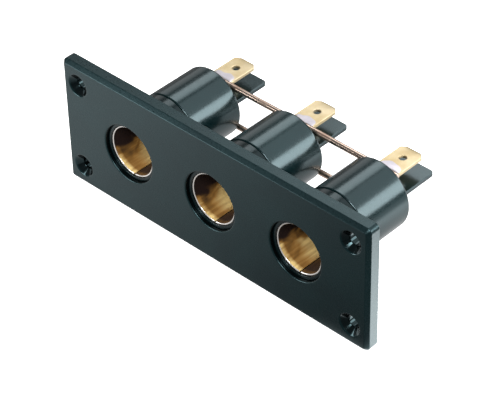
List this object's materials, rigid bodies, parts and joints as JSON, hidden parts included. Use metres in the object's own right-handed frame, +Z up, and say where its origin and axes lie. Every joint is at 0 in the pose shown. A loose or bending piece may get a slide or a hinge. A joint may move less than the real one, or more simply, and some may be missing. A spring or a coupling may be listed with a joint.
{
  "type": "panel power socket",
  "caption": "Flat plate with a row of round low-voltage plug sockets: brass lined bores, plastic barrels and blade terminals behind, linked by copper wires.",
  "frame": {"origin": "centre of the screw pattern on the plate's back face", "axes": "+X along the plate, +Y behind the panel along the sockets' axes, +Z up"},
  "size_m": [0.092, 0.0407, 0.034],
  "materials": {
    "plate_plastic": "fine satin moulding",
    "collar_plastic": "satin moulding",
    "barrel_plastic": "semi-gloss moulding",
    "brass_sleeve": "rolled and bright",
    "base_plastic": "matt moulding",
    "contact_brass": "turned",
    "blade_brass": "stamped, bright",
    "copper_wire": "bare drawn copper",
    "solder": "bright solder"
  },
  "bodies": {
    "root": {"faceplate": "plate_plastic", "collar_left": "collar_plastic", "sleeve_left": "brass_sleeve", "cap_left": "barrel_plastic", "base_left": "base_plastic", "contact_left": "contact_brass", "blade_left": "blade_brass", "collar_middle": "collar_plastic", "sleeve_middle": "brass_sleeve", "cap_middle": "barrel_plastic", "base_middle": "base_plastic", "contact_middle": "contact_brass", "blade_middle": "blade_brass", "collar_right": "collar_plastic", "sleeve_right": "brass_sleeve", "cap_right": "barrel_plastic", "base_right": "base_plastic", "contact_right": "contact_brass", "blade_right": "blade_brass", "upper_bus_wire": "copper_wire", "lower_bus_wire": "copper_wire", "solder_joints": "solder"}
  },
  "joints": []
}
